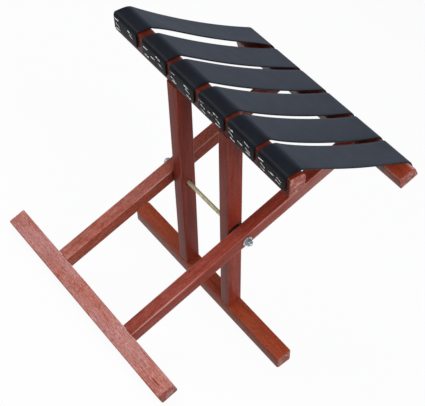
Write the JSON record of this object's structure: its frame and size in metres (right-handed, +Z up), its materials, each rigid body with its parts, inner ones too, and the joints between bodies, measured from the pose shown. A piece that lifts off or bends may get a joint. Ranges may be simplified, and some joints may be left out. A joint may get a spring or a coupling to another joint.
{
  "type": "folding camp stool",
  "caption": "Folding X-frame camp stool of varnished red hardwood on a steel axle, with a seat of black leather straps wrapped over the rails; it folds flat about the axle.",
  "frame": {"origin": "on the floor, midway between the foot rails and midway along them, below the axle", "axes": "+Z up, +Y along the rails, axle and fold axis, +X from the left rails to the right rails"},
  "size_m": [0.3136, 0.358, 0.3791],
  "materials": {
    "hardwood": "satin varnish over red-brown hardwood, open grain",
    "strap_leather": "black strap leather, smooth side up, slight sheen",
    "yellow_plate": "yellow-passivated zinc plate on steel",
    "zinc_plate": "bright zinc plate on steel",
    "nylon": "black nylon"
  },
  "bodies": {
    "outer_frame": {"outer_leg_near": "hardwood", "outer_leg_far": "hardwood", "seat_rail_right": "hardwood", "foot_rail_left": "hardwood", "axle_rod": "yellow_plate", "axle_nut_near": "zinc_plate", "axle_nut_far": "zinc_plate", "axle_washer_near": "zinc_plate", "axle_washer_far": "zinc_plate", "pivot_spacer_near": "nylon", "pivot_spacer_far": "nylon", "seat_strap_1": "strap_leather", "seat_strap_2": "strap_leather", "seat_strap_3": "strap_leather", "seat_strap_4": "strap_leather", "seat_strap_5": "strap_leather", "seat_strap_6": "strap_leather"},
    "inner_frame": {"inner_leg_near": "hardwood", "inner_leg_far": "hardwood", "seat_rail_left": "hardwood", "foot_rail_right": "hardwood"}
  },
  "joints": [
    {"name": "fold", "type": "hinge", "parent": "outer_frame", "child": "inner_frame", "pos_m": [0, 0, 0.18726], "axis": [0, 1, 0], "range_deg": [0, 68], "deforming": ["seat_strap_1", "seat_strap_2", "seat_strap_3", "seat_strap_4", "seat_strap_5", "seat_strap_6"]}
  ]
}
